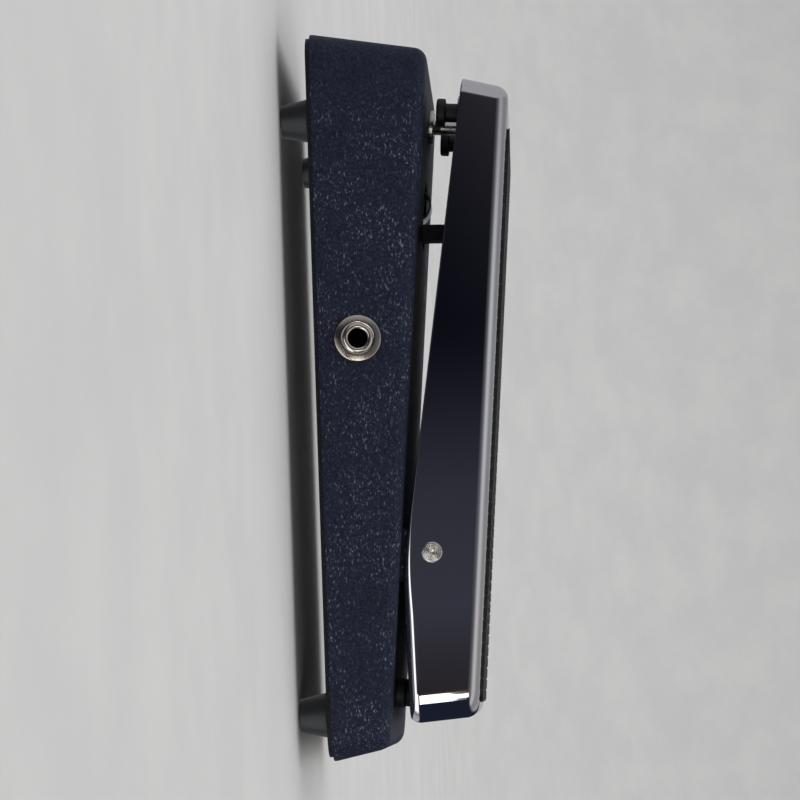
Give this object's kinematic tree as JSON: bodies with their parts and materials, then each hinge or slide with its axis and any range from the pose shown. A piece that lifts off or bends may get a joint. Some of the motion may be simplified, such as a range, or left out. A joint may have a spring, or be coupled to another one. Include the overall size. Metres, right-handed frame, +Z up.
{
  "type": "volume pedal",
  "caption": "Rocker foot pedal for instrument volume: cast wedge housing on rubber feet, chromed tilting treadle with ribbed mat, rack and pinion potentiometer drive, side jacks.",
  "frame": {"origin": "on the floor, under the centre of the housing's footprint", "axes": "+X to the player's right, +Y to the toe end, +Z up"},
  "size_m": [0.105, 0.252, 0.08],
  "materials": {
    "housing_coat": "black textured powder coat, fine wrinkle with faint blue-grey sparkle",
    "plate_coat": "satin black paint",
    "foot_rubber": "satin moulded rubber",
    "chrome": "polished chrome plate on a die casting",
    "mat_rubber": "matte ribbed rubber",
    "bumper_rubber": "matte moulded rubber",
    "bronze": "satin sintered bronze",
    "turned_steel": "turned, satin, nickel plated",
    "black_steel": "black oxide, satin",
    "rack_plastic": "black moulded nylon",
    "gear_plastic": "natural nylon",
    "spring_steel": "bright rolled strip",
    "jack_plastic": "black moulded plastic",
    "nickel": "polished nickel plate",
    "washer_fibre": "black fibre",
    "contact_brass": "tinned brass, satin",
    "wire_red": "insulated wire",
    "wire_white": "insulated wire",
    "wire_green": "insulated wire",
    "zinc_steel": "zinc plated, satin"
  },
  "bodies": {
    "base": {"housing": "housing_coat", "bottom_plate": "plate_coat", "foot_front_left": "foot_rubber", "foot_front_right": "foot_rubber", "foot_rear_left": "foot_rubber", "foot_rear_right": "foot_rubber", "foot_screws": "zinc_steel", "foot_washers": "zinc_steel", "pivot_bush_left": "bronze", "pivot_bush_right": "bronze", "heel_bumper_left": "bumper_rubber", "heel_bumper_right": "bumper_rubber", "toe_stop_stud": "turned_steel", "toe_stop_collar": "turned_steel", "toe_stop_locknut": "zinc_steel", "tension_spring": "spring_steel", "tension_spring_screw": "zinc_steel", "pot_body": "zinc_steel", "pot_lugs": "contact_brass", "pot_washer": "zinc_steel", "pot_nut": "zinc_steel", "pot_bracket": "zinc_steel", "pot_bracket_screws": "black_steel", "pot_bracket_nuts": "zinc_steel", "output_jack_body": "jack_plastic", "output_jack_sleeve": "nickel", "output_jack_washer": "washer_fibre", "output_jack_nut": "nickel", "output_jack_contacts": "contact_brass", "input_jack_body": "jack_plastic", "input_jack_sleeve": "nickel", "input_jack_washer": "washer_fibre", "input_jack_nut": "nickel", "input_jack_contacts": "contact_brass", "input_wire": "wire_red", "output_wire": "wire_white", "ground_wire": "wire_green", "ground_link_wire": "wire_green"},
    "treadle": {"treadle": "chrome", "treadle_mat": "mat_rubber", "pivot_shaft": "turned_steel", "pivot_set_screws": "black_steel", "toe_bumper_left": "bumper_rubber", "toe_bumper_right": "bumper_rubber", "toe_stop_pad": "bumper_rubber", "rack": "rack_plastic", "rack_screws": "zinc_steel"},
    "pinion": {"pinion_gear": "gear_plastic", "pinion_set_screw": "black_steel", "pot_shaft": "zinc_steel"}
  },
  "joints": [
    {"name": "treadle_tilt", "type": "hinge", "parent": "base", "child": "treadle", "pos_m": [0, -0.0572, 0.0471], "axis": [1, 0, 0], "range_deg": [-1.1, 5.5]},
    {"name": "pinion_spin", "type": "hinge", "parent": "base", "child": "pinion", "pos_m": [0, 0.05223, 0.0325], "axis": [1, 0, 0], "range_deg": [-22.89, 114.03]}
  ],
  "couplings": [
    {"joint": "pinion_spin", "follows": "treadle_tilt", "ratio": 20.714}
  ]
}
